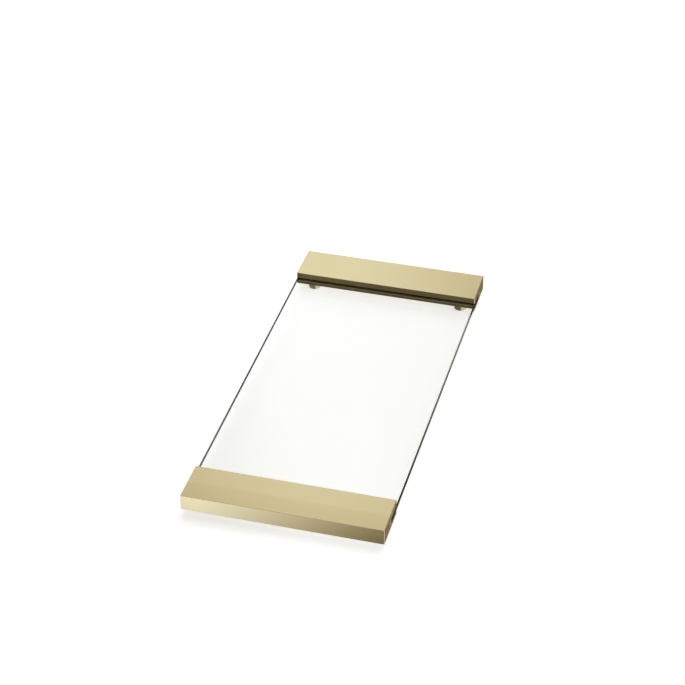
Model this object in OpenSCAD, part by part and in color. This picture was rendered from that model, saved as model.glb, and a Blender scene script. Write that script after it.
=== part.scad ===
// Vanity tray: a glass plate held in the slots of two brass bars, which stand on four feet.
// The origin is at the centre of the tray, on the surface that the foot pads rest on.
// +X runs along the bars, +Y runs from the front bar to the rear bar, and +Z is up.

/* [Tray] */
// Length over both bars
tray_l = 380; // [280:5:500]
// Width, which is also the length of each bar
tray_w = 170; // [120:5:260]

/* [Bars] */
// Width of each bar, along the tray's length
bar_w = 40; // [36:1:60]
// Height of each bar
bar_h = 14.5; // [13.5:0.5:20]
// Radius of the outside edges
bar_edge_r = 0.6; // [0.3:0.1:1.2]
// Metal left under the slot
lower_lip = 3.3; // [3.2:0.1:4]
// Depth of the slot behind the inner face
slot_depth = 20; // [16:1:26]
// Radius of the slot's two closed corners
slot_root_r = 1.2; // [0.5:0.1:2]
// Radius of the slot's mouth
slot_mouth_r = 0.3; // [0.1:0.1:0.5]

/* [Glass] */
// Thickness of the glass
glass_t = 5; // [4:0.5:6]
// Ground bevel along the edges of the glass
glass_arris = 0.6; // [0.2:0.1:0.8]

/* [Gaskets] */
// Thickness of the gasket above and below the glass
gasket_leg = 0.3; // [0.2:0.1:0.5]
// Thickness of the gasket behind the glass
gasket_back = 1.5; // [1:0.1:2.5]
// How far the gasket's legs stop short of the bar's inner face
gasket_inset = 1; // [0.5:0.5:4]

/* [Feet] */
// Diameter of each foot
foot_d = 11; // [10:0.5:14]
// Height of each foot without its pad
foot_h = 6; // [4.8:0.1:8]
// Distance from a foot's axis to the end of its bar
foot_to_end = 15; // [10:1:40]
// Distance from a foot's axis to its bar's inner face
foot_to_inner_face = 8.3; // [7.5:0.1:12]
// Bevel on a foot's two rims
foot_bevel = 0.25; // [0.1:0.05:0.5]
// Depth of the recess for the pad
pad_recess = 1; // [0.6:0.1:1.2]
// Wall left around the pad's recess
pad_rim = 1; // [0.8:0.1:1.2]
// How far the pad stands below the foot
pad_proud = 0.5; // [0.3:0.1:1]
// Radius of the pad's lower rim
pad_edge_r = 0.35; // [0.1:0.05:0.45]

/* [Screws] */
// Thread diameter
screw_d = 3; // [2.5:0.5:3]
// Diameter of the head
head_d = 5.5; // [4.5:0.5:5.5]
// Height of the head
head_h = 2; // [1.6:0.1:2]
// Width across the flats of the hexagon socket
socket_flats = 2; // [1.5:0.5:2.5]
// Depth of the socket
socket_depth = 1.1; // [0.8:0.1:1.2]
// Bevel on the head's rim and on the screw's tip
screw_bevel = 0.25; // [0.1:0.05:0.4]

/* [Hidden] */
$fn = 64;

over = 1;            // how far a cutting shape runs past the face it cuts
pad_gap = 0.1;       // air between a pad and the rim of its recess
thread_gap = 0.02;   // air between a screw and its tapped hole
hole_gap = 0.2;      // air between a screw and the plain hole in its foot
head_gap = 0.25;     // air around and under a screw's head
tip_gap = 0.25;      // how far a screw's tip stays below the slot

foot_r = foot_d / 2;
recess_r = foot_r - pad_rim;
pad_r = recess_r - pad_gap;
thread_r = screw_d / 2;
screw_r = thread_r - thread_gap;
hole_r = thread_r + hole_gap;
head_r = head_d / 2;
counterbore_r = head_r + head_gap;

slot_h = glass_t + 2 * gasket_leg;
glass_l = tray_l - 2 * (bar_w - slot_depth + gasket_back);

foot_top = pad_proud + foot_h;              // the bars stand on this level
recess_top = pad_proud + pad_recess;
counterbore_top = recess_top + head_gap + head_h;
slot_floor = foot_top + lower_lip;
glass_floor = slot_floor + gasket_leg;

inner_face = tray_l / 2 - bar_w;            // distance from the middle to a bar's inner face
slot_end = inner_face + slot_depth;
foot_x = tray_w / 2 - foot_to_end;
foot_y = inner_face + foot_to_inner_face;

BRASS = [0.80, 0.73, 0.51];
CORNERS = [["front_left", -1, -1], ["front_right", 1, -1], ["rear_left", -1, 1], ["rear_right", 1, 1]];

// ---- Shared shapes ----

// Rectangle with round corners, centred.
module rounded_rect(size, r) {
    square([size[0] - 2 * r, size[1]], center = true);
    square([size[0], size[1] - 2 * r], center = true);
    for (sx = [-1, 1], sy = [-1, 1])
        translate([sx * (size[0] / 2 - r), sy * (size[1] / 2 - r)]) circle(r);
}

// Rectangle with its corners cut off at 45 degrees, centred.
module bevelled_rect(size, bevel) {
    a = size[0] / 2;
    b = size[1] / 2;
    polygon([
        [-a + bevel, -b], [a - bevel, -b], [a, -b + bevel], [a, b - bevel],
        [a - bevel, b], [-a + bevel, b], [-a, b - bevel], [-a, -b + bevel]
    ]);
}

// Extrudes an outline drawn in Y and Z along X.
module along_x(length) {
    rotate([90, 0, 90]) linear_extrude(length, center = true) children();
}

// Extrudes an outline drawn in X and Z along Y.
module along_y(length) {
    rotate([90, 0, 0]) linear_extrude(length, center = true) children();
}

// Moves what is drawn around the Z axis to a corner's foot.
module at_corner(corner) {
    translate([corner[1] * foot_x, corner[2] * foot_y, 0]) children();
}

// Draws what belongs to the rear bar, or its mirror image for the front bar.
module at_bar(side) {
    if (side < 0) mirror([0, 1, 0]) children();
    else children();
}

// ---- Glass ----

module glass_plate() {
    color([0.80, 0.88, 0.84, 0.4])
    translate([0, 0, glass_floor + glass_t / 2])
    intersection() {
        along_x(tray_w + over) bevelled_rect([glass_l, glass_t], glass_arris);
        along_y(glass_l + over) bevelled_rect([tray_w, glass_t], glass_arris);
    }
}

// ---- Bars ----

// The slot's section: closed by two round corners and open through the inner face.
module slot_section() {
    translate([inner_face - over, slot_floor])
        square([slot_depth + over - slot_root_r, slot_h]);
    translate([slot_end - slot_root_r, slot_floor + slot_root_r])
        square([slot_root_r, slot_h - 2 * slot_root_r]);
    for (z = [slot_floor + slot_root_r, slot_floor + slot_h - slot_root_r])
        translate([slot_end - slot_root_r, z]) circle(slot_root_r);
}

// What the rounding takes off the slot's lower and upper mouth edges.
module slot_mouth_section() {
    for (edge = [[slot_floor, -1], [slot_floor + slot_h, 1]])
        translate([inner_face, edge[0]])
        difference() {
            translate([-over, -slot_mouth_r]) square([over + slot_mouth_r, 2 * slot_mouth_r]);
            translate([slot_mouth_r, edge[1] * slot_mouth_r]) circle(slot_mouth_r);
        }
}

// A solid bar with every outside edge rounded.
module bar_blank() {
    translate([0, inner_face + bar_w / 2, foot_top + bar_h / 2])
    intersection() {
        along_x(tray_w + over) rounded_rect([bar_w, bar_h], bar_edge_r);
        along_y(bar_w + over) rounded_rect([tray_w, bar_h], bar_edge_r);
        linear_extrude(bar_h + over, center = true) rounded_rect([tray_w, bar_w], bar_edge_r);
    }
}

module bar(side) {
    color(BRASS)
    at_bar(side)
    difference() {
        bar_blank();
        along_x(tray_w + 2 * over) {
            slot_section();
            slot_mouth_section();
        }
        for (sx = [-1, 1])
            translate([sx * foot_x, foot_y, foot_top - over])
                cylinder(h = lower_lip + 2 * over, r = thread_r);
    }
}

// ---- Gaskets ----

// A U-shaped strip that lines the slot: its back is behind the glass, its legs above and below.
module gasket(side) {
    color([0.86, 0.85, 0.80, 0.6])
    at_bar(side)
    along_x(tray_w)
    difference() {
        intersection() {
            slot_section();
            translate([inner_face + gasket_inset, slot_floor])
                square([slot_depth, slot_h]);
        }
        translate([inner_face, glass_floor])
            square([slot_depth - gasket_back, glass_t]);
    }
}

// ---- Feet ----

// A turned foot: plain hole at the top, counterbore for the screw's head, recess for the pad.
module foot() {
    color(BRASS)
    rotate_extrude()
    polygon([
        [hole_r, foot_top],
        [hole_r, counterbore_top],
        [counterbore_r, counterbore_top],
        [counterbore_r, recess_top],
        [recess_r, recess_top],
        [recess_r, pad_proud],
        [foot_r - foot_bevel, pad_proud],
        [foot_r, pad_proud + foot_bevel],
        [foot_r, foot_top - foot_bevel],
        [foot_r - foot_bevel, foot_top]
    ]);
}

// A socket head screw that points up, from the foot's counterbore into the bar's lower lip.
module foot_screw() {
    head_floor = counterbore_top - head_h;
    tip = slot_floor - tip_gap;
    color([0.62, 0.62, 0.64])
    difference() {
        rotate_extrude()
        polygon([
            [0, head_floor],
            [head_r - screw_bevel, head_floor],
            [head_r, head_floor + screw_bevel],
            [head_r, counterbore_top],
            [screw_r, counterbore_top],
            [screw_r, tip - screw_bevel],
            [screw_r - screw_bevel, tip],
            [0, tip]
        ]);
        translate([0, 0, head_floor - over])
            cylinder(h = socket_depth + over, d = socket_flats / cos(30), $fn = 6);
    }
}

// A soft disc pressed into the foot's recess, which the tray stands on.
module foot_pad() {
    color([0.90, 0.90, 0.88, 0.7])
    rotate_extrude() {
        square([pad_r - pad_edge_r, recess_top]);
        translate([0, pad_edge_r]) square([pad_r, recess_top - pad_edge_r]);
        translate([pad_r - pad_edge_r, pad_edge_r])
            intersection() {
                circle(pad_edge_r);
                translate([0, -pad_edge_r]) square([pad_edge_r, 2 * pad_edge_r]);
            }
    }
}

// ---- The tray ----

glass_plate();
bar(-1);  // front_bar
bar(1);  // rear_bar
gasket(-1);  // front_gasket
gasket(1);  // rear_gasket
for (corner = CORNERS) {
    at_corner(corner) foot();
    at_corner(corner) foot_screw();
    at_corner(corner) foot_pad();
}
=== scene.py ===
"""Looks of the glass vanity tray: detailed pieces, materials, light and camera.

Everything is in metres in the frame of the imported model: +X runs along the bars, +Y from the
front bar to the rear bar, +Z up, and the pads stand on z = 0.
"""
import math

import bmesh
import bpy
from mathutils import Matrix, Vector


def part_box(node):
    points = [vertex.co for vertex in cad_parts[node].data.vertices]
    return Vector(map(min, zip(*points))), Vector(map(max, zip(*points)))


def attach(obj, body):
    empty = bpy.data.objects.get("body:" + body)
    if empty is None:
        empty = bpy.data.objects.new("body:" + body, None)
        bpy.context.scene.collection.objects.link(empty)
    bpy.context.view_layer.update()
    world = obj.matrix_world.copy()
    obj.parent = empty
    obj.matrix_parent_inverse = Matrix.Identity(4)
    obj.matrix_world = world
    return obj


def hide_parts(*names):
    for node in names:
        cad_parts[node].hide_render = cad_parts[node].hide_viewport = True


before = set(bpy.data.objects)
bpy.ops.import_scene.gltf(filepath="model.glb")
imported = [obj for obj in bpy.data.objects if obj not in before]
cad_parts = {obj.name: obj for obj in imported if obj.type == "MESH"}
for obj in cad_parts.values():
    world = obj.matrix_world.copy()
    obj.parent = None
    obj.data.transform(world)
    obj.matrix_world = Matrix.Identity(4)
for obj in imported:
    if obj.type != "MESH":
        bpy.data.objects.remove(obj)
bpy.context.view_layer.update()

MM = 0.001
QUARTER = math.pi / 2

# ---- Camera ----
CAMERA_AZIMUTH = math.radians(15.05)      # towards +X from straight in front
CAMERA_ELEVATION = math.radians(35.05)    # above the horizon
CAMERA_DISTANCE = 1.849                   # from the point it aims at
CAMERA_AIM = Vector((-0.018, 0.0651, 0.0108))
CAMERA_LENS = 108.03
CAMERA_SENSOR = 36                        # width of the film, in mm like the lens

# ---- Sizes that the frame's boxes don't give ----
EDGE_R = 0.6 * MM               # outside edges of the bars
SLOT_MOUTH_R = 0.3 * MM         # the slot's two mouth edges
SLOT_END_R = 0.25 * MM          # the slot's edges in the end faces
SLOT_ROOT_R = 1.2 * MM          # the slot's two closed corners
TAPPED_R = 1.5 * MM             # screw holes in the bars
DRILL_OVERRUN = 1.0 * MM        # how far the drills reach past both ends of a hole
GASKET_LEG = 0.3 * MM           # thickness above and below the glass
GASKET_BACK = 1.5 * MM          # thickness behind the glass
GASKET_TIP_R = 0.1 * MM         # edges of the legs and of the inside
GASKET_END_R = 0.05 * MM        # edges round the two cut ends
GLASS_ARRIS = 0.5 * MM          # ground bevel along the glass, on top
GLASS_UNDER_BEVEL = 1.0 * MM    # the same underneath: its width
GLASS_UNDER_RISE = 0.35 * MM    # and its height
HEAD_H = 2.0 * MM               # height of a screw's head
HEAD_GAP = 0.25 * MM            # air around the head in its foot
FOOT_HOLE_R = 1.7 * MM          # plain hole that the screw's shank passes
FOOT_RIM_R = 0.25 * MM          # a foot's two outside rims
FOOT_LIP = 0.12 * MM            # bevel round the mouth of a foot's recess
PAD_GAP = 0.1 * MM              # air between a pad and the recess
PAD_RIM_R = 0.35 * MM           # a pad's lower rim
PAD_TOP_R = 0.1 * MM            # a pad's upper rim, inside the recess
THREAD_R = 1.48 * MM            # the screw's thread, at its crest
THREAD_DEPTH = 0.25 * MM
THREAD_PITCH = 0.5 * MM
THREAD_NECK = 0.1 * MM          # between the head and the thread
THREAD_ROWS = 10                # rows of faces for each turn of the thread
SCREW_RIM_R = 0.25 * MM         # the head's rim, and the taper at the thread's tip
HEAD_BACK_BEVEL = 0.05 * MM     # the rim on the head's other side
SOCKET_DEPTH = 1.1 * MM
SOCKET_HALF = 1.0 * MM          # from the socket's middle to a flat
SOCKET_MOUTH = 0.1 * MM         # bevel round the socket's mouth
SCREW_CREASE = 35               # degrees from which a screw's edges look crisp

ARC_STEPS = 5                   # faces across a rounded edge
TURNED_STEPS = 96               # faces round a turned piece
SCREW_STEPS = 48                # faces round a screw
DRILL_STEPS = 32                # faces round a tapped hole
MOST_INSET = 0.98               # a rounded edge never uses up its whole radius
WELD = 0.001 * MM               # points closer than this become one
SLOT_SLACK = 0.1 * MM           # a face this close to the slot's box belongs to the slot
ENDWAYS = 0.8                   # a face whose normal has this much X or more is an end face
FLAT = 0.999                    # a face whose normal has this much Z or more is level

CORNERS = ("front_left", "front_right", "rear_left", "rear_right")
GLASS_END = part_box("glass_plate")[1].y


# ---- Mesh tools ----

def new_object(name, bm):
    """Makes an object in the scene from a bmesh."""
    mesh = bpy.data.meshes.new(name)
    bm.to_mesh(mesh)
    bm.free()
    made = bpy.data.objects.new(name, mesh)
    bpy.context.scene.collection.objects.link(made)
    return made


def new_piece(name, bm, materials, replaced):
    """Makes a piece that rides on the tray and stands for a CAD node."""
    bmesh.ops.recalc_face_normals(bm, faces=bm.faces)
    piece = new_object(name, bm)
    piece.data.shade_smooth()
    for material in materials:
        piece.data.materials.append(material)
    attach(piece, "root")
    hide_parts(replaced)
    return piece


def keep_flats_flat(piece):
    """Bends the shading only across the rounded edges."""
    modifier = piece.modifiers.new("weighted_normals", "WEIGHTED_NORMAL")
    modifier.keep_sharp = True


def keep_creases(piece, degrees):
    """Keeps the edges sharper than an angle crisp."""
    bm = bmesh.new()
    bm.from_mesh(piece.data)
    for edge in bm.edges:
        edge.smooth = edge.calc_face_angle(0.0) < math.radians(degrees)
    bm.to_mesh(piece.data)
    bm.free()


def bake_modifiers(piece):
    """Applies a piece's modifiers to its mesh."""
    depsgraph = bpy.context.evaluated_depsgraph_get()
    depsgraph.update()
    mesh = bpy.data.meshes.new_from_object(piece.evaluated_get(depsgraph))
    piece.modifiers.clear()
    piece.data = mesh


def round_inset(radius, depth):
    """How far a rounded edge has drawn back, at a depth below its end face."""
    if depth >= radius:
        return 0.0
    return radius - math.sqrt(radius ** 2 - (radius - depth) ** 2)


def rounded_outline(corners, insets):
    """(point, wear) along a closed outline with round corners, each edge moved inwards.

    corners holds (u, v, radius) anticlockwise, and insets how far the edge that starts at each
    corner moves. Wear is 1 in the middle of a convex corner and 0 on the flats.
    """
    count = len(corners)
    points = []
    for i, (u, v, radius) in enumerate(corners):
        next_u, next_v, _ = corners[(i + 1) % count]
        before = Vector((u - corners[i - 1][0], v - corners[i - 1][1])).normalized()
        after = Vector((next_u - u, next_v - v)).normalized()
        side = 1 if before.x * after.y - before.y * after.x > 0 else -1
        corner = Vector((u, v))
        corner += Vector((-before.y, before.x)) * insets[i - 1]
        corner += Vector((-after.y, after.x)) * insets[i]
        shrink = min(insets[i - 1], insets[i], MOST_INSET * radius)
        radius -= side * shrink
        start = corner - before * radius
        centre = start + Vector((-before.y, before.x)) * side * radius
        arm = start - centre
        for k in range(ARC_STEPS + 1):
            a = side * QUARTER * k / ARC_STEPS
            turned_arm = Vector((arm.x * math.cos(a) - arm.y * math.sin(a),
                                 arm.x * math.sin(a) + arm.y * math.cos(a)))
            wear = math.sin(math.pi * k / ARC_STEPS) if side > 0 else 0.0
            points.append((centre + turned_arm, wear))
    return points


def bridge(bm, rings):
    """Joins closed rings of the same number of vertices with quads."""
    for ring, following in zip(rings, rings[1:]):
        for i in range(len(ring)):
            j = (i + 1) % len(ring)
            bm.faces.new((ring[i], ring[j], following[j], following[i]))


def long_section(x_lo, x_hi, corners, end_radii):
    """A solid along X from an outline in Y and Z. end_radii gives, for the edge that starts at
    each corner, the radius with which it rounds over into the two end faces."""
    bm = bmesh.new()
    wear = bm.verts.layers.float.new("wear")
    largest = max(end_radii)
    depths = [largest * (1 - math.cos(QUARTER * k / ARC_STEPS)) for k in range(ARC_STEPS + 1)]
    stations = [(x_lo + d, d) for d in depths] + [(x_hi - d, d) for d in reversed(depths)]
    rings = []
    for x, depth in stations:
        insets = [round_inset(r, depth) for r in end_radii]
        end_wear = math.sin(math.pi * min(depth / largest, 1.0))
        ring = []
        for point, corner_wear in rounded_outline(corners, insets):
            vert = bm.verts.new((x, point.x, point.y))
            vert[wear] = max(corner_wear, end_wear)
            ring.append(vert)
        rings.append(ring)
    bridge(bm, rings)
    for ring in (rings[0], rings[-1]):
        bm.faces.new(ring)
    bmesh.ops.recalc_face_normals(bm, faces=bm.faces)
    return bm


def grain_uv(bm):
    """Lays a map whose U runs across the brushing: along X on the sides, along Y on the ends."""
    layer = bm.loops.layers.uv.new("grain")
    for face in bm.faces:
        n = face.normal
        for loop in face.loops:
            x, y, z = loop.vert.co
            if abs(n.x) > ENDWAYS:
                loop[layer].uv = (z, y)
            elif abs(n.z) > abs(n.y):
                loop[layer].uv = (y, x)
            else:
                loop[layer].uv = (z, x)


def turned(profile, centre, steps=TURNED_STEPS, closed=False):
    """A solid of revolution about a vertical axis.

    profile holds (radius, z), where radius may be a function of the angle. A closed profile is a
    ring, such as a bush, and an open one starts and ends on the axis with radius 0. U of its
    grain map runs along the profile, and V runs round.
    """
    bm = bmesh.new()
    layer = bm.loops.layers.uv.new("grain")
    angles = [2 * math.pi * k / steps for k in range(steps)]
    rings = []
    run = 0.0
    runs = []
    for i, (radius, z) in enumerate(profile):
        at = radius if callable(radius) else lambda _, r=radius: r
        rings.append([bm.verts.new((centre.x + at(a) * math.cos(a),
                                    centre.y + at(a) * math.sin(a), z)) for a in angles])
        if i:
            before = profile[i - 1]
            last = before[0](0) if callable(before[0]) else before[0]
            run += math.hypot(at(0) - last, z - before[1])
        runs.append(run)
    pairs = list(zip(rings, rings[1:], runs, runs[1:]))
    if closed:
        pairs.append((rings[-1], rings[0], run, run + EDGE_R))
    for ring, following, here, there in pairs:
        for i in range(steps):
            j = (i + 1) % steps
            face = bm.faces.new((ring[i], ring[j], following[j], following[i]))
            around = (i / steps, (i + 1) / steps)
            for loop, uv in zip(face.loops, ((here, around[0]), (here, around[1]),
                                             (there, around[1]), (there, around[0]))):
                loop[layer].uv = uv
    bmesh.ops.remove_doubles(bm, verts=bm.verts, dist=WELD)
    return bm


def arc(centre_r, centre_z, radius, start, end):
    """Points of a turned profile along an arc, from one angle to another in degrees."""
    points = []
    for k in range(ARC_STEPS + 1):
        a = math.radians(start + (end - start) * k / ARC_STEPS)
        points.append((centre_r + radius * math.cos(a), centre_z + radius * math.sin(a)))
    return points


# ---- Node tools ----

class Nodes:
    """A node tree of a material or of the world, with one call for each node.

    A value is a number, a colour or another node's output.
    """

    def __init__(self, tree):
        self.tree = tree

    def add(self, kind, inputs=None, **settings):
        node = self.tree.nodes.new(kind)
        for key, value in settings.items():
            setattr(node, key, value)
        for key, value in (inputs or {}).items():
            self.put(node.inputs[key], value)
        return node

    def put(self, socket, value):
        if isinstance(value, bpy.types.NodeSocket):
            self.tree.links.new(value, socket)
        else:
            socket.default_value = value

    def place(self, output="Object"):
        return self.add("ShaderNodeTexCoord").outputs[output]

    def axes(self):
        """The X, Y and Z of the point on the surface."""
        return self.add("ShaderNodeSeparateXYZ", {0: self.place()}).outputs

    def noise(self, scale, detail=3.0, roughness=0.5):
        """Noise of 0 to 1 whose scale has its own value along X, Y and Z, per metre."""
        stretch = self.add("ShaderNodeMapping", {"Vector": self.place(), "Scale": scale})
        texture = self.add("ShaderNodeTexNoise", {
            "Vector": stretch.outputs["Vector"], "Scale": 1.0, "Detail": detail,
            "Roughness": roughness})
        return texture.outputs["Fac"]

    def math(self, operation, a, b=0.0):
        return self.add("ShaderNodeMath", {0: a, 1: b}, operation=operation).outputs[0]

    def near(self, value, target, reach):
        """1 where the value is within reach of the target, otherwise 0."""
        node = self.add("ShaderNodeMath", {0: value, 1: target, 2: reach}, operation="COMPARE")
        return node.outputs[0]

    def mix(self, factor, a, b):
        """Goes from number a to number b as the factor goes from 0 to 1."""
        return self.add("ShaderNodeMix", {"Factor": factor, "A": a, "B": b}).outputs["Result"]

    def blend(self, factor, a, b):
        """The same for colours."""
        node = self.add("ShaderNodeMix", {"Factor": factor, 6: a, 7: b}, data_type="RGBA")
        return node.outputs[2]

    def ramp(self, value, low, high, to_low=0.0, to_high=1.0, smooth=False):
        """Goes from to_low to to_high as the value goes from low to high, and stays there."""
        node = self.add("ShaderNodeMapRange", {
            "Value": value, "From Min": low, "From Max": high, "To Min": to_low,
            "To Max": to_high})
        node.interpolation_type = "SMOOTHSTEP" if smooth else "LINEAR"
        return node.outputs["Result"]

    def bump(self, height, distance, strength):
        node = self.add("ShaderNodeBump", {
            "Height": height, "Distance": distance, "Strength": strength})
        return node.outputs["Normal"]

    def tint(self, level, dim, dim_colour, bright_colour):
        """A colour that changes as the level rises from dim to 1."""
        return self.blend(self.ramp(level, dim, 1.0), dim_colour, bright_colour)

    def reflected(self):
        """1 for a ray that has met a shiny surface on its way, otherwise 0."""
        depth = self.add("ShaderNodeLightPath").outputs["Glossy Depth"]
        return self.math("GREATER_THAN", depth, 0.5)


class Surface(Nodes):
    """A new material around one Principled shader."""

    def __init__(self, name):
        self.material = bpy.data.materials.new(name)
        self.material.use_nodes = True
        super().__init__(self.material.node_tree)
        self.shader = self.tree.nodes["Principled BSDF"]
        self.output = self.tree.nodes["Material Output"]

    def set(self, **values):
        """Sets the shader's sockets, with _ for the spaces in their names."""
        for key, value in values.items():
            self.put(self.shader.inputs[key.replace("_", " ")], value)

    def brushing(self, along, across_scale, along_scale, detail, roughness):
        """Noise drawn out along one axis, 0 for X and 1 for Y."""
        scale = [across_scale] * 3
        scale[along] = along_scale
        return self.noise(scale, detail, roughness)

    def grain(self):
        """The tangent across the brushing or the turning, from the piece's grain map."""
        node = self.add("ShaderNodeTangent", direction_type="UV_MAP", uv_map="grain")
        return node.outputs["Tangent"]


# ---- Materials ----
# Each pair of colours is the darker and the lighter one that a material varies between.
# Noise mostly stays between these two values, which the ramps stretch to their own range:
NOISE = (0.3, 0.7)

BRUSHED_COLOURS = ((0.75, 0.645, 0.365, 1), (0.82, 0.715, 0.42, 1))
END_COLOURS = ((0.75, 0.635, 0.32, 1), (0.81, 0.70, 0.375, 1))
# The slot's walls: darker brass, partly a milled finish and partly painted shade inside the slot
MILLED_SHADE_COLOURS = ((0.40, 0.33, 0.17, 1), (0.48, 0.40, 0.22, 1))
# Darker brass for the painted shade at the front of the front bar
FRONT_SHADE_COLOURS = ((0.68, 0.57, 0.315, 1), (0.75, 0.64, 0.365, 1))
TURNED_COLOURS = ((0.54, 0.445, 0.22, 1), (0.61, 0.505, 0.26, 1))
STEEL_COLOURS = ((0.52, 0.52, 0.53, 1), (0.62, 0.62, 0.63, 1))
VINYL_COLOURS = ((0.55, 0.52, 0.42, 1), (0.70, 0.67, 0.55, 1))
# Cut ends of the gasket: pale, partly its own colour and partly a painted highlight
CUT_VINYL_HIGHLIGHT_COLOURS = ((0.86, 0.77, 0.53, 1), (0.95, 0.87, 0.64, 1))
# Thin legs at the cut ends: dark with painted shade of the slot
THIN_VINYL_SHADE_COLOURS = ((0.20, 0.165, 0.09, 1), (0.28, 0.235, 0.14, 1))
SILICONE_COLOURS = ((0.74, 0.74, 0.72, 1), (0.84, 0.84, 0.82, 1))
GROUND_COLOURS = ((0.016, 0.014, 0.004, 1), (0.034, 0.030, 0.010, 1))
# Colour of the painted light on the ground glass edges
EDGE_LIGHT_COLOUR = (0.48, 0.47, 0.39, 1)
GLASS_TINT = (0.60, 0.62, 0.36, 1)
GLASS_DENSITY = 12.0            # how strongly the glass takes up light, per metre
GLASS_IOR = 1.52
PLASTIC_IOR = 1.45

# Scales of noise, per metre. Brushing has one across and one along it, the others X, Y and Z.
STREAKS = (620, 30)
GROOVES = (5200, 90)
BRASS_CLOUD = (14, 14, 14)
TURNED_RINGS = (300, 300, 9000)
TURNED_CLOUD = (90, 90, 90)
GLASS_WAVES = (22, 22, 22)
GROUND_GRAIN = (60, 60, 1800)
PLASTIC_CLOUD = (120, 400, 400)
PLASTIC_SKIN = (2600, 2600, 2600)

# How much each of these lightens the brass's colour
STREAK_SHARE = 0.45
CLOUD_SHARE = 0.35
WEAR_SHARE = 0.5

# Roughness of each material, and by how much noise or wear changes it either way
BRUSHED_ROUGHNESS = 0.34
MILLED_ROUGHNESS = 0.45
STREAK_ROUGHNESS = 0.045
CLOUD_ROUGHNESS = 0.02
WEAR_POLISH = 0.1
TURNED_ROUGHNESS = 0.12
STEEL_ROUGHNESS = 0.25
RING_ROUGHNESS = 0.03
GROUND_ROUGHNESS = (0.35, 0.5)
VINYL_ROUGHNESS = 0.12
CUT_VINYL_ROUGHNESS = (0.5, 0.7)
SILICONE_ROUGHNESS = 0.4
SKIN_ROUGHNESS = 0.06

# Depth of each material's relief
BRUSHED_RELIEF = 0.017 * MM
TURNED_RELIEF = 0.004 * MM
GLASS_RELIEF = 0.01 * MM
PLASTIC_RELIEF = 0.02 * MM

# Painted shade: the front bar's top turns darker from the closed end of the slot forwards, and
# all in front of that, such as its front face, takes the darker colour in full. It stands in for
# the change in the top's reflection there: (y from, y to, share from, share to) for its sharp part
# and its soft part.
FRONT_SHADE_SHARP = (-173 * MM, -169 * MM, 0.6, 0.0)
FRONT_SHADE_SOFT = (-189 * MM, -173 * MM, 0.4, 0.0)

# The same for the painted light that makes the ground glass edge pale: on the left, on the right,
# and where the right edge turns dark again beside the rear bar.
EDGE_LIGHT_LEFT = (-0.12, -0.01, 1.2, 0.0)
EDGE_LIGHT_RIGHT = (-0.12, 0.11, 0.0, 0.75)
EDGE_LIGHT_RIGHT_STOP = (0.132, 0.136, 1.0, 0.0)


def brushed_brass(name, along, colours, roughness=BRUSHED_ROUGHNESS):
    """Matt brass brushed along one axis, 0 for X and 1 for Y, and lighter along worn edges. Towards the
    front of the front bar it turns darker, a painted shade.
    """
    n = Surface(name)
    streaks = n.brushing(along, *STREAKS, 4, 0.6)
    grooves = n.brushing(along, *GROOVES, 2, 0.5)
    cloud = n.noise(BRASS_CLOUD, 2)
    wear = n.add("ShaderNodeAttribute", attribute_name="wear").outputs["Fac"]
    shade = n.math("ADD", n.math("MULTIPLY", n.ramp(streaks, *NOISE), STREAK_SHARE),
                   n.math("MULTIPLY", cloud, CLOUD_SHARE))
    shade = n.math("ADD", shade, n.math("MULTIPLY", wear, WEAR_SHARE))
    rough = n.math("ADD", n.ramp(streaks, *NOISE, -STREAK_ROUGHNESS, STREAK_ROUGHNESS),
                   n.ramp(cloud, *NOISE, -CLOUD_ROUGHNESS, CLOUD_ROUGHNESS))
    rough = n.math("ADD", rough, n.ramp(wear, 0, 1, roughness, roughness - WEAR_POLISH))
    relief = n.math("ADD", n.math("MULTIPLY", grooves, 0.5), n.math("MULTIPLY", streaks, 0.5))
    y = n.axes()[1]
    # Painted shade: darker brass at the front of the front bar, by its place in Y
    front_shade = n.math("ADD", n.ramp(y, *FRONT_SHADE_SHARP), n.ramp(y, *FRONT_SHADE_SOFT))
    brass = n.blend(front_shade, n.blend(shade, *colours), n.blend(shade, *FRONT_SHADE_COLOURS))
    n.set(Base_Color=brass, Metallic=1.0, Roughness=rough, Anisotropic=0.7, Tangent=n.grain(),
          Normal=n.bump(relief, BRUSHED_RELIEF, 0.5))
    return n.material


def turned_metal(name, colours, roughness):
    """Metal with the fine rings that a lathe leaves."""
    n = Surface(name)
    rings = n.noise(TURNED_RINGS)
    cloud = n.noise(TURNED_CLOUD, 2)
    n.set(Base_Color=n.blend(cloud, *colours), Metallic=1.0, Anisotropic=0.5, Tangent=n.grain(),
          Roughness=n.ramp(rings, *NOISE, roughness - RING_ROUGHNESS, roughness + RING_ROUGHNESS),
          Normal=n.bump(rings, TURNED_RELIEF, 0.4))
    return n.material


def absorbing(n):
    """The tint of thick glass, which shows only along its edges."""
    absorb = n.add("ShaderNodeVolumeAbsorption", {"Color": GLASS_TINT, "Density": GLASS_DENSITY})
    n.put(n.output.inputs["Volume"], absorb.outputs["Volume"])
    return n.material


def clear_glass():
    """Float glass, clear through its faces, with very faint waves."""
    n = Surface("clear_glass")
    waves = n.noise(GLASS_WAVES, 1, 0.4)
    n.set(Base_Color=(1, 1, 1, 1), Roughness=0.0, IOR=GLASS_IOR, Transmission_Weight=1.0,
          Normal=n.bump(waves, GLASS_RELIEF, 0.3))
    return absorbing(n)


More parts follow.
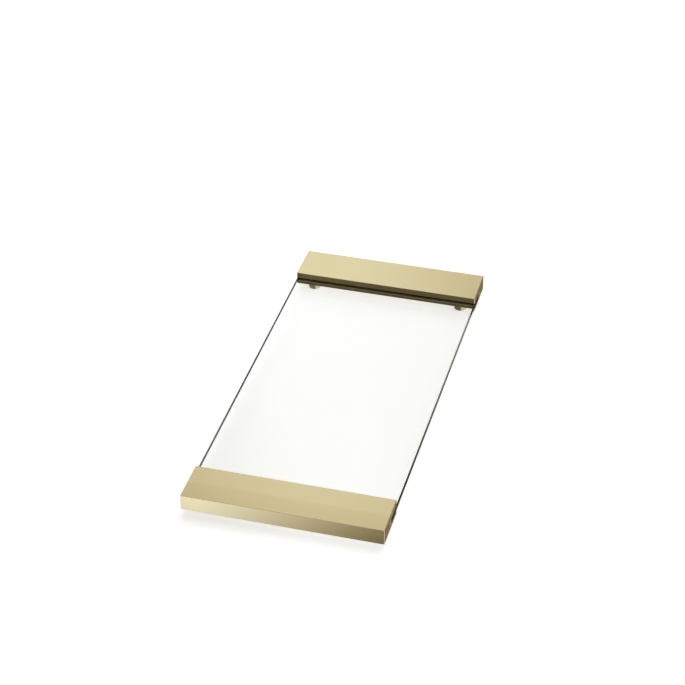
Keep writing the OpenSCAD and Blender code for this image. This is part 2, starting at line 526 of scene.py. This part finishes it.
def ground_glass():
    """The ground edges: matt dark olive, with painted light by place along the edge that makes them
    paler in front on the left and behind on the right.
    """
    n = Surface("ground_glass_edge")
    x, y, _ = n.axes()
    left = n.ramp(y, *EDGE_LIGHT_LEFT)
    right = n.math("MINIMUM", n.ramp(y, *EDGE_LIGHT_RIGHT), n.ramp(y, *EDGE_LIGHT_RIGHT_STOP))
    # Painted light: the edge blends towards a pale colour by its place along it
    edge_light = n.mix(n.math("GREATER_THAN", x, 0.0), left, right)
    grain = n.noise(GROUND_GRAIN)
    n.set(Base_Color=n.blend(edge_light, n.blend(grain, *GROUND_COLOURS), EDGE_LIGHT_COLOUR), IOR=GLASS_IOR,
          Specular_IOR_Level=0.1, Roughness=n.ramp(grain, *NOISE, *GROUND_ROUGHNESS),
          Normal=n.bump(grain, GLASS_RELIEF, 0.3))
    return absorbing(n)


def soft_plastic(name, colours, roughness, transmission):
    """Translucent moulded or extruded plastic."""
    n = Surface(name)
    cloud = n.noise(PLASTIC_CLOUD)
    skin = n.noise(PLASTIC_SKIN, 2)
    n.set(Base_Color=n.blend(cloud, *colours), IOR=PLASTIC_IOR, Transmission_Weight=transmission,
          Roughness=n.ramp(skin, *NOISE, roughness - SKIN_ROUGHNESS, roughness + SKIN_ROUGHNESS),
          Normal=n.bump(skin, PLASTIC_RELIEF, 0.4))
    return n.material


def cut_vinyl():
    """The gasket's cut ends: pale behind the glass, partly the vinyl's own colour and partly a painted
    highlight, and dark along the two thin legs, a painted shade of the slot.
    """
    n = Surface("clear_vinyl_cut")
    cloud = n.noise(PLASTIC_CLOUD)
    behind = n.math("GREATER_THAN", n.math("ABSOLUTE", n.axes()[1]), GLASS_END)
    # Painted light: a pale highlight behind the glass, and painted shade on the thin legs
    colour = n.blend(behind, n.blend(cloud, *THIN_VINYL_SHADE_COLOURS), n.blend(cloud, *CUT_VINYL_HIGHLIGHT_COLOURS))
    n.set(Base_Color=colour, IOR=PLASTIC_IOR, Roughness=n.ramp(cloud, *NOISE, *CUT_VINYL_ROUGHNESS),
          Specular_IOR_Level=0.2, Normal=n.bump(cloud, PLASTIC_RELIEF, 0.4))
    return n.material


# ---- Pieces ----

def bar_corners(side, y_face, y_slot, y_back, z_lo, z_hi, slot_lo, slot_hi):
    """The C-shaped section, anticlockwise, and each edge's radius into the end faces."""
    section = [
        (y_face, z_lo, EDGE_R, EDGE_R),
        (y_back, z_lo, EDGE_R, EDGE_R),
        (y_back, z_hi, EDGE_R, EDGE_R),
        (y_face, z_hi, EDGE_R, EDGE_R),
        (y_face, slot_hi, SLOT_MOUTH_R, SLOT_END_R),
        (y_slot, slot_hi, SLOT_ROOT_R, SLOT_END_R),
        (y_slot, slot_lo, SLOT_ROOT_R, SLOT_END_R),
        (y_face, slot_lo, SLOT_MOUTH_R, EDGE_R),
    ]
    if side > 0:
        return [c[:3] for c in section], [c[3] for c in section]
    section.reverse()
    radii = [section[(i + 1) % len(section)][3] for i in range(len(section))]
    return [c[:3] for c in section], radii


def mark_faces(bm, slot_lo, slot_hi):
    """Gives a bar's end faces the second material, and the walls of its slot the third, a darker brass
    that is partly their milled finish and partly painted shade inside the slot.
    """
    for face in bm.faces:
        middle = face.calc_center_median()
        if abs(face.normal.x) > ENDWAYS:
            face.material_index = 1
        elif all(lo - SLOT_SLACK < at < hi + SLOT_SLACK for lo, at, hi in
                 zip(slot_lo.yz, middle.yz, slot_hi.yz)):
            face.material_index = 2


def axis_of(node):
    """The X and Y of a node's middle."""
    lo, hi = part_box(node)
    return Vector(((lo.x + hi.x) / 2, (lo.y + hi.y) / 2))


def drill(piece, corners):
    """Cuts the tapped holes from the bar's underside up into its slot."""
    bm = bmesh.new()
    for corner in corners:
        axis = axis_of("foot_screw_" + corner)
        bar_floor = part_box("foot_" + corner)[1].z
        slot_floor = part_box(corner.split("_")[0] + "_gasket")[0].z
        made = bmesh.ops.create_cone(bm, cap_ends=True, segments=DRILL_STEPS, radius1=TAPPED_R,
                                     radius2=TAPPED_R,
                                     depth=slot_floor - bar_floor + 2 * DRILL_OVERRUN)
        bmesh.ops.translate(bm, verts=made["verts"], vec=(axis.x, axis.y, (slot_floor + bar_floor) / 2))
    drills = new_object("drills", bm)
    cut = piece.modifiers.new("holes", "BOOLEAN")
    cut.operation = "DIFFERENCE"
    cut.solver = "EXACT"
    cut.object = drills
    bake_modifiers(piece)
    bpy.data.objects.remove(drills)


def make_bar(name, side, metals):
    """side is -1 for the front bar and 1 for the rear bar."""
    lo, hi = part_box(name)
    gasket_lo, gasket_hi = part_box(name.replace("bar", "gasket"))
    y_face, y_back = (lo.y, hi.y) if side > 0 else (hi.y, lo.y)
    y_slot = gasket_hi.y if side > 0 else gasket_lo.y
    corners, radii = bar_corners(side, y_face, y_slot, y_back, lo.z, hi.z, gasket_lo.z, gasket_hi.z)
    bm = long_section(lo.x, hi.x, corners, radii)
    grain_uv(bm)
    mark_faces(bm, gasket_lo, gasket_hi)
    piece = new_piece("brushed_" + name, bm, metals, name)
    drill(piece, [c for c in CORNERS if name.split("_")[0] in c])
    keep_flats_flat(piece)


def make_gasket(name, side, materials):
    """A U-shaped strip around the glass edge. Its cut ends have the second material."""
    lo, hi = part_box(name)
    y_tip, y_back = (lo.y, hi.y) if side > 0 else (hi.y, lo.y)
    y_inside = y_back - side * GASKET_BACK
    section = [
        (y_tip, lo.z, GASKET_TIP_R),
        (y_back, lo.z, SLOT_ROOT_R),
        (y_back, hi.z, SLOT_ROOT_R),
        (y_tip, hi.z, GASKET_TIP_R),
        (y_tip, hi.z - GASKET_LEG, GASKET_TIP_R),
        (y_inside, hi.z - GASKET_LEG, GASKET_TIP_R),
        (y_inside, lo.z + GASKET_LEG, GASKET_TIP_R),
        (y_tip, lo.z + GASKET_LEG, GASKET_TIP_R),
    ]
    if side < 0:
        section.reverse()
    bm = long_section(lo.x, hi.x, section, [GASKET_END_R] * len(section))
    for face in bm.faces:
        face.material_index = 1 if abs(face.normal.x) > ENDWAYS else 0
    piece = new_piece("strip_" + name, bm, materials, name)
    keep_flats_flat(piece)


def make_glass(materials):
    """The plate: ground flat all round, with a wider and shallower bevel along its underside.
    Everything but its two large faces has the second material."""
    lo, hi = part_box("glass_plate")
    half = (hi.x - lo.x) / 2
    middle = (hi.x + lo.x) / 2
    under = half - GLASS_UNDER_BEVEL
    upper = half - GLASS_ARRIS
    z_under = lo.z + GLASS_UNDER_RISE
    z_upper = hi.z - GLASS_ARRIS
    outline = [(-half, z_under), (-under, lo.z), (under, lo.z), (half, z_under),
               (half, z_upper), (upper, hi.z), (-upper, hi.z), (-half, z_upper)]
    bm = bmesh.new()
    rings = []
    for y, inset in ((lo.y, GLASS_ARRIS), (lo.y + GLASS_ARRIS, 0.0),
                     (hi.y - GLASS_ARRIS, 0.0), (hi.y, GLASS_ARRIS)):
        rings.append([bm.verts.new((middle + x, y, min(max(z, lo.z + inset), hi.z - inset)))
                      for x, z in outline])
    bridge(bm, rings)
    bm.faces.new(rings[0])
    bm.faces.new(rings[-1])
    bmesh.ops.recalc_face_normals(bm, faces=bm.faces)
    for face in bm.faces:
        face.material_index = 0 if abs(face.normal.z) > FLAT else 1
    piece = new_piece("polished_glass", bm, materials, "glass_plate")
    piece.data.shade_flat()


def make_foot(corner, metal):
    """A turned foot: plain hole, counterbore for the screw's head, recess for the pad."""
    name = "foot_" + corner
    lo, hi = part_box(name)
    pad_lo, pad_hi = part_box("foot_pad_" + corner)
    screw_lo, screw_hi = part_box("foot_screw_" + corner)
    outer = (hi.x - lo.x) / 2
    recess = (pad_hi.x - pad_lo.x) / 2 + PAD_GAP
    counterbore = (screw_hi.x - screw_lo.x) / 2 + HEAD_GAP
    head_top = screw_lo.z + HEAD_H
    profile = [(FOOT_HOLE_R, hi.z), (FOOT_HOLE_R, head_top), (counterbore, head_top),
               (counterbore, pad_hi.z), (recess, pad_hi.z)]
    profile += [(recess, lo.z + FOOT_LIP), (recess + FOOT_LIP, lo.z)]
    profile += arc(outer - FOOT_RIM_R, lo.z + FOOT_RIM_R, FOOT_RIM_R, -90, 0)
    profile += arc(outer - FOOT_RIM_R, hi.z - FOOT_RIM_R, FOOT_RIM_R, 0, 90)
    bm = turned(profile, axis_of(name), closed=True)
    piece = new_piece("turned_" + name, bm, (metal,), name)
    keep_flats_flat(piece)


def make_pad(corner, material):
    """A soft disc with a rolled lower rim."""
    name = "foot_pad_" + corner
    lo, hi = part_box(name)
    outer = (hi.x - lo.x) / 2
    profile = [(0.0, lo.z)] + arc(outer - PAD_RIM_R, lo.z + PAD_RIM_R, PAD_RIM_R, -90, 0)
    profile += arc(outer - PAD_TOP_R, hi.z - PAD_TOP_R, PAD_TOP_R, 0, 90) + [(0.0, hi.z)]
    piece = new_piece("soft_" + name, turned(profile, axis_of(name)), (material,), name)
    keep_flats_flat(piece)


def hexagon(a):
    """Radius of the screw's socket at an angle."""
    sixth = math.pi / 3
    return SOCKET_HALF / math.cos((a + sixth / 2) % sixth - sixth / 2)


def hexagon_mouth(a):
    return hexagon(a) + SOCKET_MOUTH


def thread(z, tip):
    """The thread's radius at a height, as a function of the angle. It tapers off at its tip."""
    def radius(a):
        turn = (z / THREAD_PITCH - a / (2 * math.pi)) % 1.0
        taper = max(0.0, 1 - (tip - z) / SCREW_RIM_R) * SCREW_RIM_R
        return THREAD_R - THREAD_DEPTH * abs(2 * turn - 1) - taper
    return radius


def make_screw(corner, metal):
    """A socket head screw that points up, with its helical thread."""
    name = "foot_screw_" + corner
    lo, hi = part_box(name)
    head_r = (hi.x - lo.x) / 2
    head_top = lo.z + HEAD_H
    thread_start = head_top + THREAD_NECK
    rows = round((hi.z - head_top) / THREAD_PITCH * THREAD_ROWS)
    heights = [thread_start + (hi.z - thread_start) * k / rows for k in range(rows + 1)]
    profile = [(0.0, lo.z + SOCKET_DEPTH), (hexagon, lo.z + SOCKET_DEPTH),
               (hexagon, lo.z + SOCKET_MOUTH), (hexagon_mouth, lo.z)]
    profile += arc(head_r - SCREW_RIM_R, lo.z + SCREW_RIM_R, SCREW_RIM_R, -90, 0)
    profile += [(head_r, head_top - HEAD_BACK_BEVEL), (head_r - HEAD_BACK_BEVEL, head_top)]
    profile += [(THREAD_R, head_top)]
    profile += [(thread(z, hi.z), z) for z in heights]
    profile += [(0.0, hi.z)]
    bm = turned(profile, axis_of(name), SCREW_STEPS)
    piece = new_piece("steel_" + name, bm, (metal,), name)
    keep_creases(piece, SCREW_CREASE)


brass = brushed_brass("brushed_brass", 0, BRUSHED_COLOURS)
brass_end = brushed_brass("brushed_brass_end", 1, END_COLOURS)
# Darker brass for the slot's walls, partly milled and partly painted shade
shaded_milled_brass = brushed_brass("shaded_milled_brass", 0, MILLED_SHADE_COLOURS, MILLED_ROUGHNESS)
turned_brass = turned_metal("turned_brass", TURNED_COLOURS, TURNED_ROUGHNESS)
steel = turned_metal("stainless_steel", STEEL_COLOURS, STEEL_ROUGHNESS)
vinyl = soft_plastic("clear_vinyl", VINYL_COLOURS, VINYL_ROUGHNESS, 1.0)
vinyl_end = cut_vinyl()
silicone = soft_plastic("pad_silicone", SILICONE_COLOURS, SILICONE_ROUGHNESS, 0.5)

make_glass((clear_glass(), ground_glass()))
for bar_name, bar_side in (("front_bar", -1), ("rear_bar", 1)):
    make_bar(bar_name, bar_side, (brass, brass_end, shaded_milled_brass))
    make_gasket(bar_name.replace("bar", "gasket"), bar_side, (vinyl, vinyl_end))
for foot_corner in CORNERS:
    make_foot(foot_corner, turned_brass)
    make_pad(foot_corner, silicone)
    make_screw(foot_corner, steel)


# ---- Stage ----
# Rays that have met a shiny surface see the studio's lights and cards, and all others see a
# plain bright room. Ramps are given as (place from, place to, level from, level to).

WHITE = (1, 1, 1, 1)
WARM = (1.0, 0.84, 0.60, 1)     # tint of the studio's dark parts
COOL = (1.0, 1.065, 1.256, 1)   # tint of the front patch's bright part
CREAM = (1.0, 0.94, 0.82, 1)    # tint of the ceiling card's dim part
BRIGHT = (1.0, 1.035, 1.10, 1)  # tint of the brightest lights and cards
DARK_STUDIO = 0.055
PLAIN_ROOM = 1.1                # what shows past the floor's far edge

FLOOR_HALF = 6
FLOOR_Z = -0.02 * MM            # just below the pads
FLOOR_COLOUR = (0.93, 0.93, 0.93, 1)
FLOOR_LIGHT = 2.3               # light on the floor from above
FLOOR_LIGHT_FROM = (0.05, 0.40, 0.91)
FLOOR_LIGHT_FOCUS = 8.0         # the higher, the narrower
FLOOR_GLOW = (-0.14, -0.06, 0.67, 0.76)     # the floor's own light, dimmer in front on the left
FLOOR_GLOW_SLANT = 0.45         # how much Y counts in that, next to X

# The patch of light in front of the tray, which the front bar shows: from left to right, and
# what is taken off it from its front to its back.
PATCH_BACK = -0.1905
PATCH_RIGHT = 0.0865
PATCH = (-0.078, 0.090, 1.30, 0.27)
PATCH_LOSS = (-0.225, -0.195, -0.02, 0.14)

# A faint strip of light under the glass, which the rear bar's inner face shows on the left
STRIP_Y = 0.11
STRIP_REACH = 0.035
STRIP = (-0.085, 0.02, 0.02, 0.0)

# The ceiling card: its near part, which rises and falls from left to right, and its far part
CARD_X = (-1.5, 1.5)
CARD_Y = (-0.1, 2.0)
CARD_Z = 0.5
CARD_FAR = (-0.29, 0.15, 1.28, 0.35)
CARD_NEAR_RISE = (-0.40, -0.12, 0.50, 0.93)
CARD_NEAR_FALL = (-0.12, 0.30, 0.93, 0.55)
CARD_SEAM = (0.5, 0.75)         # where the near part turns into the far part
CARD_DIM = 0.65                 # the level at which the card is cream

# x, y, z of the direction, full within, gone beyond (degrees), strength
STUDIO_LIGHTS = (
    ((0.0, 0.35, 0.94), 35, 80, 0.75),       # above and behind
    ((0.90, -0.15, -0.40), 42, 52, 0.90),    # low on the right
    ((0.15, 0.80, -0.57), 20, 60, 0.08),     # low behind
    ((-0.90, 0.20, 0.25), 20, 42, 0.15),     # on the left
    ((0.25, -0.76, 0.55), 30, 56, 0.20),     # in front, which mostly the views from behind show
    ((0.68, 0.70, -0.10), 12, 34, 0.34),     # low in three corners, for the other views' sides
    ((-0.68, 0.70, -0.10), 12, 36, 0.36),
    ((-0.80, -0.58, -0.06), 12, 30, 0.26),
)

BOUNCES = 32                    # enough for light to pass the glass and the slots


def stage_plane(name, x, y, z, material):
    """A level rectangle that isn't part of the tray."""
    bm = bmesh.new()
    bm.faces.new([bm.verts.new((px, py, z)) for px, py in
                  ((x[0], y[0]), (x[1], y[0]), (x[1], y[1]), (x[0], y[1]))])
    plane = new_object(name, bm)
    plane.data.materials.append(material)
    material.cycles.emission_sampling = "NONE"
    return plane


def make_floor():
    """A plain white floor. Shiny surfaces see a light patch in front of the tray and, past it,
    the studio below."""
    n = Surface("white_floor")
    x, y, _ = n.axes()
    to_corner = n.math("ADD", x, n.math("MULTIPLY", y, FLOOR_GLOW_SLANT))
    n.set(Base_Color=FLOOR_COLOUR, Roughness=0.3, Specular_IOR_Level=0.3, Emission_Color=WHITE,
          Emission_Strength=n.ramp(to_corner, *FLOOR_GLOW))
    level = n.math("SUBTRACT", n.ramp(x, *PATCH), n.ramp(y, *PATCH_LOSS))
    patch = n.add("ShaderNodeEmission", {
        "Color": n.tint(level, DARK_STUDIO, WARM, COOL), "Strength": level})
    faint = n.math("MULTIPLY", n.ramp(x, *STRIP), n.near(y, STRIP_Y, STRIP_REACH))
    strip = n.add("ShaderNodeEmission", {"Color": WARM, "Strength": faint})
    clear = n.add("ShaderNodeBsdfTransparent")
    below = n.add("ShaderNodeAddShader", {0: clear.outputs[0], 1: strip.outputs[0]})
    in_front = n.math("MULTIPLY", n.math("LESS_THAN", y, PATCH_BACK),
                      n.math("LESS_THAN", x, PATCH_RIGHT))
    seen = n.add("ShaderNodeMixShader", {0: in_front, 1: below.outputs[0], 2: patch.outputs[0]})
    both = n.add("ShaderNodeMixShader", {
        0: n.reflected(), 1: n.shader.outputs[0], 2: seen.outputs[0]})
    n.put(n.output.inputs["Surface"], both.outputs[0])
    side = (-FLOOR_HALF, FLOOR_HALF)
    stage_plane("floor", side, side, FLOOR_Z, n.material)


def make_ceiling_card():
    """A soft white card over and behind the tray, which only shiny surfaces show."""
    material = bpy.data.materials.new("ceiling_card")
    material.use_nodes = True
    material.node_tree.nodes.clear()
    n = Nodes(material.node_tree)
    x, y, _ = n.axes()
    near = n.math("MINIMUM", n.ramp(x, *CARD_NEAR_RISE), n.ramp(x, *CARD_NEAR_FALL))
    level = n.mix(n.ramp(y, *CARD_SEAM), near, n.ramp(x, *CARD_FAR))
    shine = n.add("ShaderNodeEmission", {
        "Color": n.tint(level, CARD_DIM, CREAM, BRIGHT), "Strength": level})
    n.add("ShaderNodeOutputMaterial", {"Surface": shine.outputs[0]})
    card = stage_plane("ceiling_card", CARD_X, CARD_Y, CARD_Z, material)
    card.visible_camera = False
    card.visible_diffuse = False
    card.visible_transmission = False
    card.visible_shadow = False


def towards(n, direction, x, y, z):
    """Cosine of the angle between a ray's direction and a given one."""
    node = n.add("ShaderNodeVectorMath", {0: direction, 1: Vector((x, y, z)).normalized()},
                 operation="DOT_PRODUCT")
    return node.outputs["Value"]


def make_world():
    """A bright room for the floor, and a dim studio with soft lights for reflections."""
    world = bpy.data.worlds.new("studio")
    bpy.context.scene.world = world
    world.use_nodes = True
    world.cycles.sampling_method = "NONE"
    n = Nodes(world.node_tree)
    direction = n.place("Generated")
    above = n.math("MAXIMUM", towards(n, direction, *FLOOR_LIGHT_FROM), 0.0)
    beam = n.math("MULTIPLY", n.math("POWER", above, FLOOR_LIGHT_FOCUS), FLOOR_LIGHT)
    diffuse_depth = n.add("ShaderNodeLightPath").outputs["Diffuse Depth"]
    plain = n.mix(n.math("GREATER_THAN", diffuse_depth, 0.5), PLAIN_ROOM, beam)
    studio = DARK_STUDIO
    for place, inner, outer, strength in STUDIO_LIGHTS:
        edges = [math.cos(math.radians(angle)) for angle in (outer, inner)]
        lobe = n.ramp(towards(n, direction, *place), *edges, 0.0, strength, smooth=True)
        studio = n.math("ADD", lobe, studio)
    colour = n.tint(studio, DARK_STUDIO, WARM, BRIGHT)
    reflected = n.reflected()
    background = n.tree.nodes["Background"]
    n.put(background.inputs["Strength"], n.mix(reflected, plain, studio))
    n.put(background.inputs["Color"], n.blend(reflected, WHITE, colour))


def make_camera():
    back = Vector((math.sin(CAMERA_AZIMUTH) * math.cos(CAMERA_ELEVATION),
                   -math.cos(CAMERA_AZIMUTH) * math.cos(CAMERA_ELEVATION),
                   math.sin(CAMERA_ELEVATION)))
    data = bpy.data.cameras.new("camera")
    data.lens = CAMERA_LENS
    data.sensor_width = CAMERA_SENSOR
    camera = bpy.data.objects.new("camera", data)
    bpy.context.scene.collection.objects.link(camera)
    camera.location = CAMERA_AIM + back * CAMERA_DISTANCE
    camera.rotation_mode = "QUATERNION"
    camera.rotation_quaternion = (-back).to_track_quat("-Z", "Y")
    bpy.context.scene.camera = camera


make_floor()
make_ceiling_card()
make_world()
make_camera()
bpy.context.scene.view_settings.view_transform = "Standard"
bpy.context.scene.cycles.max_bounces = BOUNCES
bpy.context.scene.cycles.transmission_bounces = BOUNCES
bpy.context.scene.cycles.glossy_bounces = BOUNCES
